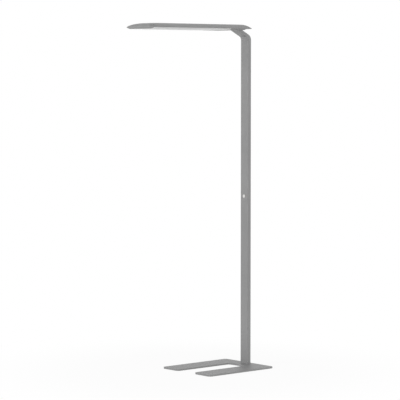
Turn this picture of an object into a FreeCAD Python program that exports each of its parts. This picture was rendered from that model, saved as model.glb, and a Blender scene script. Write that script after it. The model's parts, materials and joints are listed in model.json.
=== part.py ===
"""Office floor lamp: U-shaped base, rectangular pole, bent neck and a slim lens-shaped head.

X runs across the lamp, -Y is the front, Z is up. The floor is z = 0 and the origin is the
middle of the lamp's footprint. A place along the lamp's depth is written as its distance in
front of the pole's rear face ("ahead"), because everything is set out from the pole.
"""
import FreeCAD
import Part
import math
import os

from FreeCAD import Vector

# ---- driving dimensions, millimetres and degrees ----
overall_height = 1950.0
overall_depth = 820.0

base_width = 410.0
base_length = 487.0
base_plate_thickness = 9.0
base_corner_radius = 22.0
base_behind_pole = 20.0
slot_width = 138.0
slot_length = 390.0
slot_inner_radius = 18.5
glide_radius = 12.0
glide_thickness = 3.0
glide_proud = 1.0

pole_width = 60.0
pole_depth = 25.0
pole_wall = 2.0
pole_corner_radius = 2.5
pole_top = 1864.0
slide_gap = 0.2              # between a part and the tube that it slides into

neck_lean = 63.0             # from vertical
neck_corner_z = 1886.0       # where the rear faces of pole and arm would meet
neck_rear_radius = 34.0
neck_front_radius = 20.0
arm_thickness = 18.0
spigot_length = 40.0
duct_width = 36.0
duct_wall = 5.0
duct_front_wall = 3.5

head_width = 262.0
head_length = 732.0
head_behind = 68.0           # the pole's rear face to the head's rear edge
head_corner_radius = 38.0
edge_thickness = 4.0
arch_height = 21.0
dish_depth = 7.0
sheet = 2.0
dish_wall = 2.5

button_height = 974.5
button_radius = 6.42
button_travel = 1.2

inlet_height = 90.0
cable_radius = 3.6
lead_radius = 2.5
control_lead_radius = 2.0

# ---- levels worked out from them ----
floor_gap = glide_proud
plate_top = floor_gap + base_plate_thickness
edge_top = overall_height - arch_height
edge_bottom = edge_top - edge_thickness
dish_bottom = edge_bottom - dish_depth
shelf_top = edge_bottom + sheet
dish_floor = dish_bottom + dish_wall
pole_back_y = overall_depth / 2 - base_behind_pole
pole_middle = pole_depth / 2
head_front = head_behind + head_length

# ---- the small screw that holds terminal block, driver and light plate ----
small_head_radius = 2.9
small_head_height = 1.8
small_shank_radius = 1.25
small_thread_radius = 1.3
small_clearance_radius = 1.7

parts_folder = "parts"


# ---- small tools ----
def y_at(ahead):
    """The Y of a place that is this far in front of the pole's rear face."""
    return pole_back_y - ahead


def at(x, ahead, z):
    return Vector(x, y_at(ahead), z)


def box(x_low, x_high, ahead_low, ahead_high, z_low, z_high):
    corner = at(x_low, ahead_high, z_low)
    return Part.makeBox(x_high - x_low, ahead_high - ahead_low, z_high - z_low, corner)


def upright(x, ahead, z, radius, height):
    return Part.makeCylinder(radius, height, at(x, ahead, z))


def rearward(x, ahead, z, radius, length):
    """A cylinder that starts at a place and runs towards the rear."""
    return Part.makeCylinder(radius, length, at(x, ahead, z), Vector(0, 1, 0))


def joined(shapes):
    whole = shapes[0]
    if len(shapes) > 1:
        whole = whole.multiFuse(shapes[1:])
    return whole.removeSplitter()


def filleted_edges(points, radii, closed):
    """Straight runs through the points, with a tangent arc of the given radius at each."""
    count = len(points)
    starts, ends, arcs = [], [], []
    for index, point in enumerate(points):
        radius = radii[index]
        if not closed and index in (0, count - 1):
            radius = 0.0
        if radius == 0.0:
            starts.append(point)
            ends.append(point)
            arcs.append(None)
            continue
        back = (points[index - 1] - point).normalize()
        on = (points[(index + 1) % count] - point).normalize()
        half_turn = (math.pi - back.getAngle(on)) / 2
        tangent = radius * math.tan(half_turn)
        middle = (back + on).normalize()
        start = point + back * tangent
        end = point + on * tangent
        crown = point + middle * (radius / math.cos(half_turn) - radius)
        starts.append(start)
        ends.append(end)
        arcs.append(Part.Arc(start, crown, end).toShape())
    edges = []
    for index in range(count):
        if arcs[index]:
            edges.append(arcs[index])
        following = (index + 1) % count
        if following == 0 and not closed:
            break
        edges.append(Part.makeLine(ends[index], starts[following]))
    return edges


def outline(points, radii):
    return Part.Wire(filleted_edges(points, radii, True))


def plan_outline(x_half, ahead_low, ahead_high, rear_radius, front_radius, z):
    corners = [at(-x_half, ahead_low, z), at(-x_half, ahead_high, z),
               at(x_half, ahead_high, z), at(x_half, ahead_low, z)]
    return outline(corners, [rear_radius, front_radius, front_radius, rear_radius])


def plan_slab(x_half, ahead_low, ahead_high, radius, z_low, z_high):
    face = Part.Face(plan_outline(x_half, ahead_low, ahead_high, radius, radius, z_low))
    return face.extrude(Vector(0, 0, z_high - z_low))


def bar_of(width, depth, radius, z_low, z_high):
    """An upright bar of the pole's section family, on the pole's centre line."""
    return plan_slab(width / 2, pole_middle - depth / 2, pole_middle + depth / 2, radius, z_low, z_high)


def tube_along(points, radii, radius):
    """A round lead along straight runs and tangent arcs."""
    path = Part.Wire(filleted_edges(points, radii, False))
    direction = points[1] - points[0]
    section = Part.Wire(Part.makeCircle(radius, points[0], direction))
    return path.makePipeShell([section], True, False)


def hexagon(across_flats, x, ahead, z, length):
    """A nut blank whose faces run front to rear, starting at a place and going rearward."""
    corner_radius = across_flats / math.sqrt(3)
    points = []
    for index in range(6):
        turn = math.radians(60 * index)
        points.append(at(x + corner_radius * math.cos(turn), ahead, z + corner_radius * math.sin(turn)))
    face = Part.Face(Part.makePolygon(points + [points[0]]))
    return face.extrude(Vector(0, length, 0))


def pan_screw(head_radius, head_height, shank_radius, shank_length):
    """A low pan head with a hexagon socket; the head's seat is z = 0 and the shank points down."""
    head = Part.makeCylinder(head_radius, head_height)
    top_edge = [edge for edge in head.Edges if edge.BoundBox.ZMin > head_height - 0.01]
    head = head.makeFillet(head_height * 0.45, top_edge)
    shank = Part.makeCylinder(shank_radius, shank_length, Vector(0, 0, -shank_length))
    return socketed(head.fuse(shank), head_height, shank_radius * 1.15, head_height * 0.6)


def countersunk_screw(head_radius, shank_radius, shank_length):
    """A countersunk head whose top is z = 0; the shank points down."""
    cone_height = head_radius - shank_radius
    head = Part.makeCone(shank_radius, head_radius, cone_height, Vector(0, 0, -cone_height))
    shank = Part.makeCylinder(shank_radius, shank_length, Vector(0, 0, -shank_length))
    return socketed(head.fuse(shank), 0.0, shank_radius * 0.9, cone_height * 0.8)


def small_pan_screw(length):
    return pan_screw(small_head_radius, small_head_height, small_shank_radius, length)


def socketed(screw, top, socket_radius, socket_depth):
    points = []
    for index in range(7):
        turn = math.radians(60 * index)
        points.append(Vector(socket_radius * math.cos(turn), socket_radius * math.sin(turn), top))
    socket = Part.Face(Part.makePolygon(points)).extrude(Vector(0, 0, -socket_depth))
    return screw.cut(socket).removeSplitter()


def turned(shape, axis, degrees):
    copy = shape.copy()
    copy.rotate(Vector(0, 0, 0), axis, degrees)
    return copy


def placed(shape, x, ahead, z):
    copy = shape.copy()
    copy.translate(at(x, ahead, z))
    return copy


def group(shapes):
    return Part.makeCompound(shapes)


# ---- base ----
glide_inset = 30.0
prong_middle = (base_width / 2 + slot_width / 2) / 2
base_front = base_length - base_behind_pole
slot_end = base_front - slot_length
glide_rows = [glide_inset - base_behind_pole, base_front / 2, base_front - glide_inset]
bolt_spread = 16.0
bolt_shank = 3.9
bolt_head = 7.4
bolt_length = 25.0


def make_base_plate():
    x = base_width / 2
    s = slot_width / 2
    z = floor_gap
    points = [at(-x, -base_behind_pole, z), at(-x, base_front, z), at(-s, base_front, z),
              at(-s, slot_end, z), at(s, slot_end, z), at(s, base_front, z),
              at(x, base_front, z), at(x, -base_behind_pole, z)]
    outer = base_corner_radius
    radii = [outer, outer, outer, slot_inner_radius, slot_inner_radius, outer, outer, outer]
    plate = Part.Face(outline(points, radii)).extrude(Vector(0, 0, base_plate_thickness))
    rims = [edge for edge in plate.Edges if edge.BoundBox.ZMin > plate_top - 0.01]
    plate = plate.makeFillet(1.2, rims)
    for x_bolt in (-bolt_spread, bolt_spread):
        plate = plate.cut(upright(x_bolt, pole_middle, 0, bolt_shank + 0.3, plate_top + 1))
        sink = Part.makeCone(bolt_head + 0.2, bolt_shank + 0.3, bolt_head - bolt_shank)
        plate = plate.cut(placed(sink, x_bolt, pole_middle, floor_gap))
    for seat in glide_places():
        plate = plate.cut(upright(seat[0], seat[1], 0, glide_radius + 0.2, glide_thickness))
    return plate


def glide_places():
    return [(side * prong_middle, row) for side in (-1, 1) for row in glide_rows]


def make_glides():
    glides = []
    for x, ahead in glide_places():
        glide = upright(x, ahead, 0, glide_radius, glide_thickness)
        under = [edge for edge in glide.Edges if edge.BoundBox.ZMax < 0.01]
        glides.append(glide.makeChamfer(0.5, under))
    return group(glides)


def make_base_bolts():
    bolt = turned(countersunk_screw(bolt_head, bolt_shank, bolt_length), Vector(1, 0, 0), 180)
    return group([placed(bolt, side * bolt_spread, pole_middle, floor_gap) for side in (-1, 1)])


# ---- pole ----
foot_height = 38.0
foot_top = plate_top + foot_height
cavity_width = pole_width - 2 * pole_wall
cavity_depth = pole_depth - 2 * pole_wall
plug_width = cavity_width - 2 * slide_gap
plug_depth = cavity_depth - 2 * slide_gap
plug_radius = pole_corner_radius - pole_wall + slide_gap
side_screw_spread = 23.0
side_screw_shank = 2.1
side_screw_hole = 2.3
side_screw_head = 4.2
side_screw_head_height = 1.8
side_screw_length = 13.0
foot_screw_z = plate_top + foot_height / 2 + 4
neck_screw_z = pole_top - spigot_length / 2
inlet_thread = 6.0
barrel_radius = 8.0


def side_screw_places(z):
    return [(side * side_screw_spread, z) for side in (-1, 1)]


def make_pole_tube():
    tube = bar_of(pole_width, pole_depth, pole_corner_radius, plate_top, pole_top)
    cavity = bar_of(cavity_width, cavity_depth, pole_corner_radius - pole_wall, 0, overall_height)
    tube = tube.cut(cavity)
    for x, z in side_screw_places(foot_screw_z) + side_screw_places(neck_screw_z):
        tube = tube.cut(rearward(x, pole_wall + 1, z, side_screw_hole, pole_wall + 3))
    tube = tube.cut(rearward(0, pole_wall + 1, inlet_height, inlet_thread + 0.2, pole_wall + 3))
    tube = tube.cut(rearward(0, pole_depth + 1, button_height, barrel_radius + 0.2, pole_wall + 3))
    return tube


def make_foot_block():
    block = bar_of(plug_width, plug_depth, plug_radius, plate_top, foot_top)
    for side in (-1, 1):
        block = block.cut(upright(side * bolt_spread, pole_middle, plate_top, bolt_shank + 0.05,
                                  bolt_length - base_plate_thickness + 2))
    block = block.cut(upright(terminal_screw_x, pole_middle, foot_top - 9, small_thread_radius, 9))
    return cut_side_holes(block, foot_screw_z)


def cut_side_holes(plug, z):
    for x, height in side_screw_places(z):
        hole = rearward(x, side_screw_length, height, side_screw_shank + 0.05, side_screw_length)
        plug = plug.cut(hole)
    return plug


def make_side_screws(z):
    screw = pan_screw(side_screw_head, side_screw_head_height, side_screw_shank, side_screw_length - 1)
    screw = turned(screw, Vector(1, 0, 0), -90)
    return group([placed(screw, x, 0, height) for x, height in side_screw_places(z)])


# ---- cable inlet in the pole's rear wall ----
inlet_flange_radius = 8.0
inlet_proud = 7.0
inlet_inside = 8.0
inlet_nut_width = 18.0
inlet_nut_thickness = 4.0
seal_thickness = 0.8


def make_inlet_bush():
    flange = rearward(0, -seal_thickness, inlet_height, inlet_flange_radius, inlet_proud)
    rim_y = y_at(0) + seal_thickness + inlet_proud
    rim = [edge for edge in flange.Edges if edge.BoundBox.YMin > rim_y - 0.01]
    flange = flange.makeFillet(2.0, rim)
    barrel = rearward(0, inlet_inside, inlet_height, inlet_thread, inlet_inside + seal_thickness)
    cable_way = rearward(0, inlet_inside + 1, inlet_height, cable_radius, inlet_inside + 20)
    return flange.fuse(barrel).cut(cable_way).removeSplitter()


def make_inlet_seal():
    ring = rearward(0, 0, inlet_height, inlet_flange_radius - 0.4, seal_thickness)
    return ring.cut(rearward(0, 1, inlet_height, inlet_thread + 0.05, seal_thickness + 2))


def make_inlet_nut():
    nut = hexagon(inlet_nut_width, 0, pole_wall + inlet_nut_thickness, inlet_height, inlet_nut_thickness)
    return nut.cut(rearward(0, inlet_inside + 1, inlet_height, inlet_thread + 0.05, inlet_inside + 4))


# ---- terminal block on the foot block, and the leads inside the pole ----
lead_x = 14.5
control_x = -10.0
terminal_screw_x = 4.0
terminal_width = 24.0
terminal_depth = 13.0
terminal_height = 16.0
terminal_top = foot_top + terminal_height
terminal_screw_seat = foot_top + 5.0
terminal_screw_length = 13.0
port_radius = 1.6
port_depth = 10.0
port_columns = [3.0, 19.0]
port_rows = [3.5, 9.5]
arm_lead_depth = duct_wall + (arm_thickness - duct_wall - duct_front_wall) / 2
lead_bend_radius = 27.0
lead_level_radius = 18.0
control_jog_radius = 12.0
driver_rear = 130.0
lead_level = 1936.0


def terminal_low_x():
    return lead_x + 9.0 - terminal_width


def make_terminal_block():
    rear = pole_middle - terminal_depth / 2
    block = box(terminal_low_x(), terminal_low_x() + terminal_width, rear, rear + terminal_depth,
                foot_top, terminal_top)
    for column in port_columns:
        x = terminal_low_x() + column
        if abs(x - lead_x) < lead_radius + 2:
            continue
        for row in port_rows:
            block = block.cut(upright(x, rear + row, terminal_top - port_depth, port_radius, port_depth))
    hole = upright(terminal_screw_x, pole_middle, foot_top, small_clearance_radius, terminal_height)
    well = upright(terminal_screw_x, pole_middle, terminal_screw_seat, small_head_radius + 0.3,
                   terminal_height)
    return block.cut(hole).cut(well)


def make_terminal_screw():
    screw = small_pan_screw(terminal_screw_length)
    return placed(screw, terminal_screw_x, pole_middle, terminal_screw_seat)


def neck_run(x):
    """Corner points of a lead that goes up the pole, through the arm and level into the head."""
    corner_z = arm_z(pole_middle, arm_lead_depth)
    level_ahead = arm_ahead(lead_level, arm_lead_depth)
    return [at(x, pole_middle, corner_z), at(x, level_ahead, lead_level), at(x, driver_rear, lead_level)]


def make_mains_lead():
    points = [at(lead_x, pole_middle, terminal_top)] + neck_run(lead_x)
    return tube_along(points, [0, lead_bend_radius, lead_level_radius, 0], lead_radius)


def make_control_lead():
    start = contact_rear + 2.5
    points = [at(0, start, contact_top), at(0, start, contact_top + 14),
              at(control_x, pole_middle, contact_top + 46)] + neck_run(control_x)
    radii = [0, control_jog_radius, control_jog_radius, lead_bend_radius, lead_level_radius, 0]
    return tube_along(points, radii, control_lead_radius)


# ---- push button ----
flange_radius = 9.5
gasket_thickness = 0.5
flange_thickness = 1.8
flange_rear = pole_depth + gasket_thickness
flange_front = flange_rear + flange_thickness
barrel_rear = pole_depth - 15.0
bore_radius = button_radius + 0.08
collar_bore = 7.0
collar_front = pole_depth - 2.1
collar_thickness = 2.0
switch_nut_width = 19.0
switch_nut_thickness = 3.0
stem_radius = 2.5
stem_rear = pole_depth - 9.5
contact_front = pole_depth - 11.4
contact_rear = pole_depth - 19.8
contact_top = button_height + 9.0
spring_radius = 4.2
wire_radius = 0.35
spring_turns = 5
contact_half = 6.0


def make_switch_housing():
    flange = rearward(0, flange_front, button_height, flange_radius, flange_thickness)
    rim = [edge for edge in flange.Edges if edge.BoundBox.YMax < y_at(flange_front) + 0.01]
    flange = flange.makeFillet(0.8, rim)
    body = flange.fuse(rearward(0, flange_rear, button_height, barrel_radius, flange_rear - barrel_rear))
    body = body.cut(rearward(0, flange_front + 1, button_height, bore_radius, 30))
    body = body.cut(rearward(0, collar_front + 0.1, button_height, collar_bore, 30))
    return body.removeSplitter()


def make_switch_gasket():
    ring = rearward(0, flange_rear, button_height, flange_radius - 0.4, gasket_thickness)
    return ring.cut(rearward(0, pole_depth + 2, button_height, barrel_radius + 0.05, 4))


def make_switch_nut():
    front = pole_depth - pole_wall
    nut = hexagon(switch_nut_width, 0, front, button_height, switch_nut_thickness)
    return nut.cut(rearward(0, front + 1, button_height, barrel_radius + 0.05, 6))


def make_button():
    front = flange_front + button_travel + 0.3
    cap = rearward(0, front, button_height, button_radius, front - collar_front + 0.5)
    rim = [edge for edge in cap.Edges if edge.BoundBox.YMax < y_at(front) + 0.01]
    cap = cap.makeFillet(1.0, rim)
    collar = rearward(0, collar_front, button_height, collar_bore - 0.1, collar_thickness)
    stem = rearward(0, collar_front, button_height, stem_radius, collar_front - stem_rear)
    return joined([cap, collar, stem])


def make_contact_block():
    nose = rearward(0, contact_front, button_height, collar_bore - 0.05, contact_front - barrel_rear)
    plate = box(-contact_half, contact_half, contact_rear, barrel_rear, button_height - 9.0, contact_top)
    return joined([nose, plate])


def arc_between(start, way, end):
    """Arc from start to end that leaves start along way."""
    chord = end - start
    half = chord.Length / 2
    lean = way.getAngle(chord)
    outward = start + way * (half / math.cos(lean)) - (start + end) * 0.5
    middle = (start + end) * 0.5 + outward * (math.tan(lean / 2) / math.tan(lean))
    return Part.Arc(start, middle, end).toShape()


def biarc(start, way, end, end_way):
    """Two arcs from start to end, tangent to both ways and to each other."""
    chord = end - start
    spread = 2 * (1 - way.dot(end_way))
    along = chord.dot(way + end_way)
    reach = (math.sqrt(along * along + spread * chord.dot(chord)) - along) / spread
    joint = (start + end + (way - end_way) * reach) * 0.5
    joint_way = (end - end_way * reach) - (start + way * reach)
    joint_way.normalize()
    return [arc_between(start, way, joint), arc_between(joint, joint_way, end)]


def make_button_spring():
    front = collar_front - collar_thickness - wire_radius
    rear = contact_front + wire_radius
    rise = (front - rear) / (spring_turns * 2 * math.pi)
    edges = []
    for step in range(spring_turns * 4):
        ends = []
        for angle in (step * math.pi / 2, (step + 1) * math.pi / 2):
            way = Vector(-spring_radius * math.sin(angle), spring_radius * math.cos(angle), rise)
            way.normalize()
            ends += [Vector(spring_radius * math.cos(angle), spring_radius * math.sin(angle), rise * angle), way]
        edges += biarc(*ends)
    path = Part.Wire(edges)
    section = Part.Wire(Part.makeCircle(wire_radius, Vector(spring_radius, 0, 0), Vector(0, spring_radius, rise)))
    spring = path.makePipeShell([section], True, False)
    spring = turned(spring, Vector(1, 0, 0), -90)
    return placed(spring, 0, front, button_height)


# ---- neck ----
def arm_z(ahead, depth):
    """Height of the arm's plane that lies this deep under its rear face, at a distance ahead."""
    lean = math.radians(neck_lean)
    return neck_corner_z + (ahead * math.cos(lean) - depth) / math.sin(lean)


def arm_ahead(z, depth):
    lean = math.radians(neck_lean)
    return (depth + (z - neck_corner_z) * math.sin(lean)) / math.cos(lean)


def neck_section(rear, front, front_depth, rear_radius, front_radius, z_low, z_high):
    """Side outline of the neck or its duct, between two planes in the pole and two in the arm."""
    spots = [(rear, z_low), (rear, arm_z(rear, rear)), (arm_ahead(z_high, rear), z_high),
             (arm_ahead(z_high, front_depth), z_high), (front, arm_z(front, front_depth)), (front, z_low)]
    radii = [0, rear_radius, 0, 0, front_radius, 0]
    return Part.Face(outline([at(0, ahead, z) for ahead, z in spots], radii))


def across(face, width):
    solid = face.extrude(Vector(width, 0, 0))
    solid.translate(Vector(-width / 2, 0, 0))
    return solid


mount_screw_spread = 25.0
mount_screw_rows = [84.5, 98.5]
mount_screw_shank = 1.95
mount_thread_depth = 6.0


def mount_screw_places():
    return [(side * mount_screw_spread, row) for side in (-1, 1) for row in mount_screw_rows]


def make_neck():
    arm = across(neck_section(0, pole_depth, arm_thickness, neck_rear_radius, neck_front_radius,
                              pole_top, edge_bottom), pole_width)
    long_edges = []
    for edge in arm.Edges:
        bounds = edge.BoundBox
        if bounds.XLength < 0.01 and bounds.ZLength > 0.01:
            long_edges.append(edge)
    arm = arm.makeFillet(pole_corner_radius - 0.2, long_edges)
    spigot = bar_of(plug_width, plug_depth, plug_radius, pole_top - spigot_length, pole_top)
    duct = across(neck_section(duct_wall, pole_depth - duct_wall, arm_thickness - duct_front_wall,
                               neck_rear_radius - duct_wall, neck_front_radius + 4.0,
                               pole_top - spigot_length - 1, edge_bottom + 4), duct_width)
    neck = cut_side_holes(joined([arm, spigot]).cut(duct), neck_screw_z)
    for x, ahead in mount_screw_places():
        neck = neck.cut(upright(x, ahead, edge_bottom - mount_thread_depth, mount_screw_shank + 0.05,
                                mount_thread_depth))
    return neck


# ---- head: lower tray, diffuser and top cover ----
shelf_wall = 2.5
dish_side_inset = 15.0
dish_front_inset = 9.0
dish_rear_inset = 8.0
dish_rear = 118.0
dish_rear_radius = 12.0
skin_gap = 0.8               # how far the dish stays inside the head's edge
window_rear = 240.0
window_front = 789.0
light_opening_front = 755.0
shelf_opening_half = 99.0
wire_slot_half = 18.5
wire_slot_rear = 88.0
wire_slot_front = 111.0
driver_opening_half = 104.0
plate_screw_x = 104.0
plate_screw_rows = [272.0, 500.0, 728.0]
retainer_x = 119.0
retainer_rows = [270.0, 425.0, 580.0, 735.0]
diffuser_post_radius = 2.45
cover_screw_ahead = 92.0
cover_screw_spread = [-108.0, -66.0, 66.0, 108.0]
peg_ahead = 772.0
peg_spread = 92.0
peg_radius = 3.0
driver_lug_x = 94.0
driver_half = 86.0
driver_front = 166.0
driver_middle = (driver_rear + driver_front) / 2


def dish_solid(shrink, lift):
    """The shallow dish under the shelf; shrink and lift make the space inside it."""
    x = head_width / 2 - skin_gap - shrink
    front = head_front - skin_gap - shrink
    rear = dish_rear + shrink
    top = plan_outline(x, rear, front, dish_rear_radius, head_corner_radius - 1, edge_bottom)
    bottom = plan_outline(x - dish_side_inset, rear + dish_rear_inset, front - dish_front_inset,
                          dish_rear_radius, head_corner_radius - 4, dish_bottom)
    dish = Part.makeLoft([bottom, top], True, True)
    dish.translate(Vector(0, 0, lift))
    return dish


def dish_shell():
    return dish_solid(0, 0).cut(dish_solid(dish_wall, dish_wall))


def dish_end(ahead_low, ahead_high):
    wide = head_width
    return dish_solid(0, 0).common(box(-wide, wide, ahead_low, ahead_high, dish_bottom, edge_bottom))


def make_head_tray():
    wide = head_width
    shelf = plan_slab(head_width / 2, head_behind, head_front, head_corner_radius, edge_bottom, edge_top)
    rim = [edge for edge in shelf.Edges if edge.BoundBox.ZMax < edge_bottom + 0.01]
    shelf = shelf.makeFillet(0.6, rim)
    inside = plan_slab(head_width / 2 - shelf_wall, head_behind + shelf_wall, head_front - shelf_wall,
                       head_corner_radius - shelf_wall, shelf_top, edge_top + 1)
    light_opening = box(-shelf_opening_half, shelf_opening_half, window_rear + 5, light_opening_front,
                        0, shelf_top + 1)
    driver_opening = box(-driver_opening_half, driver_opening_half, dish_rear + 6, driver_front + 20,
                         0, shelf_top + 1)
    shelf = shelf.cut(inside).cut(light_opening).cut(driver_opening)
    ends = dish_shell().cut(box(-wide, wide, window_rear, window_front, 0, edge_top))
    tray = joined([shelf, ends, dish_end(window_rear - dish_wall, window_rear),
                   dish_end(window_front, head_front)])
    tray = tray.cut(box(-wire_slot_half, wire_slot_half, wire_slot_rear, wire_slot_front,
                        edge_bottom - 1, shelf_top + 1))
    for x, ahead in mount_screw_places():
        tray = tray.cut(upright(x, ahead, edge_bottom - 1, mount_screw_shank + 0.25, 5))
    for side in (-1, 1):
        for ahead in plate_screw_rows:
            tray = tray.cut(upright(side * plate_screw_x, ahead, edge_bottom - 1, small_thread_radius, 5))
        for ahead in retainer_rows:
            post_hole = upright(side * retainer_x, ahead, edge_bottom - 0.1,
                                diffuser_post_radius + 0.35, 5)
            tray = tray.cut(post_hole)
        peg_hole = upright(side * peg_spread, peg_ahead, edge_bottom + 0.2, peg_radius + 0.2, 5)
        lug_hole = upright(side * driver_lug_x, driver_middle, dish_floor - 1.9, small_thread_radius, 5)
        tray = tray.cut(peg_hole).cut(lug_hole)
    sink = Part.makeCone(3.0, small_clearance_radius, 3.0 - small_clearance_radius)
    for x in cover_screw_spread:
        tray = tray.cut(upright(x, cover_screw_ahead, edge_bottom - 1, small_clearance_radius, 5))
        tray = tray.cut(placed(sink, x, cover_screw_ahead, edge_bottom))
    return tray


def make_diffuser():
    wide = head_width
    gap = 0.25
    rear, front = window_rear + gap, window_front - gap
    shell = dish_shell().common(box(-wide, wide, rear, front, dish_bottom, edge_bottom - 0.05))
    walls = [dish_end(rear, rear + dish_wall), dish_end(front - dish_wall, front)]
    low = box(-wide, wide, rear, front, dish_bottom - 1, edge_bottom - 0.05)
    posts = []
    for side in (-1, 1):
        for ahead in retainer_rows:
            posts.append(upright(side * retainer_x, ahead, dish_floor, diffuser_post_radius,
                                 shelf_top + 2.2 - dish_floor))
    return joined([joined([shell] + walls).common(low)] + posts)


def make_diffuser_retainers():
    washers = []
    for side in (-1, 1):
        for ahead in retainer_rows:
            washer = upright(side * retainer_x, ahead, shelf_top, 5.2, 0.8)
            hole = upright(side * retainer_x, ahead, shelf_top - 1, diffuser_post_radius + 0.05, 3)
            washers.append(washer.cut(hole))
    return group(washers)


cover_side_reach = 81.0      # how far in from the edge the arch keeps rising
cover_front_reach = 77.0
cover_rear_reach = 12.0
cover_side_power = 1.6
cover_levels = [0.0, 0.12, 0.3, 0.52, 0.74, 0.9, 0.975, 1.0]


def cover_outline(share, shrink, drop):
    """The cover's outline where it has risen by this share of the arch."""
    side = cover_side_reach * (1 - (1 - share) ** (1 / cover_side_power))
    end = 1 - math.sqrt(1 - share * share)
    x = head_width / 2 - 0.4 - shrink - side
    rear = head_behind + 0.4 + shrink + cover_rear_reach * end
    front = head_front - 0.4 - shrink - cover_front_reach * end
    radius = head_corner_radius - shrink - 12.0 * share
    return plan_outline(x, rear, front, radius, radius, edge_top + arch_height * share - drop)


def cover_arch(shrink, drop):
    return Part.makeLoft([cover_outline(share, shrink, drop) for share in cover_levels], True, False)


uplight_half = 40.0
uplight_rear = 250.0
uplight_front = 708.0
uplight_radius = 8.0
uplight_gap = 0.3
uplight_lip = 6.0
uplight_lip_thickness = 1.6


def make_top_cover():
    cover = cover_arch(0, 0).cut(cover_arch(sheet, sheet))
    cover = cover.cut(plan_slab(uplight_half, uplight_rear, uplight_front, uplight_radius,
                                edge_top, overall_height + 1))
    inside = cover_arch(0.8, 0.8)
    posts = []
    for x in cover_screw_spread:
        posts.append(upright(x, cover_screw_ahead, shelf_top, 3.6, 30))
    for side in (-1, 1):
        posts.append(upright(side * peg_spread, peg_ahead, shelf_top, peg_radius + 1, 30))
    room = inside.fuse(plan_slab(head_width / 2 - 4, head_behind + 4, head_front - 4, 30.0,
                                 edge_bottom, edge_top + 0.2))
    posts = [post.common(room) for post in posts]
    for side in (-1, 1):
        posts.append(upright(side * peg_spread, peg_ahead, edge_bottom + 0.4, peg_radius, 4))
    cover = joined([cover] + posts)
    for x in cover_screw_spread:
        cover = cover.cut(upright(x, cover_screw_ahead, shelf_top - 1, 1.35, 6.2))
    return cover


def make_uplight_panel():
    gap = uplight_gap
    lip = uplight_lip
    seat = overall_height - sheet
    pane = plan_slab(uplight_half - gap, uplight_rear + gap, uplight_front - gap, uplight_radius - gap,
                     seat, overall_height)
    rim = plan_slab(uplight_half + lip, uplight_rear - lip, uplight_front + lip, uplight_radius + lip,
                    seat - uplight_lip_thickness, seat)
    return joined([pane, rim])


def make_cover_screws():
    screw = turned(countersunk_screw(small_head_radius, small_thread_radius, 7.0), Vector(1, 0, 0), 180)
    return group([placed(screw, x, cover_screw_ahead, edge_bottom) for x in cover_screw_spread])


# ---- head: mounting to the neck ----
mount_plate_half = 46.0
mount_plate_rear = 74.0
mount_plate_front = 122.0
mount_plate_thickness = 4.0
lead_slot_front = 118.0


def make_mount_plate():
    top = shelf_top + mount_plate_thickness
    plate = plan_slab(mount_plate_half, mount_plate_rear, mount_plate_front, 4.0, shelf_top, top)
    plate = plate.cut(box(-wire_slot_half, wire_slot_half, wire_slot_rear, lead_slot_front,
                          shelf_top - 1, top + 1))
    for x, ahead in mount_screw_places():
        plate = plate.cut(upright(x, ahead, shelf_top - 1, mount_screw_shank + 0.25, 8))
    return plate


def make_mount_screws():
    length = mount_plate_thickness + sheet + mount_thread_depth - 0.6
    screw = pan_screw(3.8, 2.4, mount_screw_shank, length)
    top = shelf_top + mount_plate_thickness
    return group([placed(screw, x, ahead, top) for x, ahead in mount_screw_places()])


# ---- head: driver and light sources ----
driver_height = 17.0
driver_lug = 2.0
led_plate_half = 109.0
led_plate_rear = window_rear + 7.0
led_plate_front = light_opening_front - 2.0
led_plate_thickness = 1.5
board_thickness = 1.6
board_length = 240.0
board_half = 20.0
board_rows = [256.0, 504.0]
down_board_x = 50.0
chip_size = 2.8
chip_height = 0.7
chips_per_row = 8
led_plate_top = shelf_top + led_plate_thickness


def make_driver():
    top = dish_floor + driver_height
    body = box(-driver_half, driver_half, driver_rear, driver_front, dish_floor, top)
    top_edges = [edge for edge in body.Edges if edge.BoundBox.ZMin > top - 0.01]
    body = body.makeFillet(1.5, top_edges)
    lugs = box(-driver_lug_x - 5, driver_lug_x + 5, driver_rear + 10, driver_front - 10,
               dish_floor, dish_floor + driver_lug)
    driver = joined([body, lugs])
    for side in (-1, 1):
        hole = upright(side * driver_lug_x, driver_middle, dish_floor - 1, small_clearance_radius, 5)
        driver = driver.cut(hole)
    return driver


def make_driver_screws():
    screw = small_pan_screw(3.6)
    seat = dish_floor + driver_lug
    return group([placed(screw, side * driver_lug_x, driver_middle, seat) for side in (-1, 1)])


def make_led_plate():
    plate = plan_slab(led_plate_half, led_plate_rear, led_plate_front, 3.0, shelf_top, led_plate_top)
    for side in (-1, 1):
        for ahead in plate_screw_rows:
            hole = upright(side * plate_screw_x, ahead, shelf_top - 1, small_clearance_radius, 4)
            plate = plate.cut(hole)
    return plate


def make_plate_screws():
    screw = small_pan_screw(3.2)
    places = [(side * plate_screw_x, ahead) for side in (-1, 1) for ahead in plate_screw_rows]
    return group([placed(screw, x, ahead, led_plate_top) for x, ahead in places])


def boards(columns, z):
    shapes = []
    for x in columns:
        for rear in board_rows:
            shapes.append(box(x - board_half, x + board_half, rear, rear + board_length,
                              z, z + board_thickness))
    return group(shapes)


def chips(columns, z):
    shapes = []
    pitch = board_length / chips_per_row
    for x in columns:
        for rear in board_rows:
            for index in range(chips_per_row):
                ahead = rear + pitch * (index + 0.5)
                shapes.append(box(x - chip_size / 2, x + chip_size / 2, ahead - chip_size / 2,
                                  ahead + chip_size / 2, z, z + chip_height))
    return group(shapes)


down_columns = [-down_board_x, down_board_x]
up_columns = [0.0]
connector_x = 52.0
connector_half = 8.0
connector_height = 6.0
output_level = led_plate_top + connector_height / 2
output_lead_radius = 1.5


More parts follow.
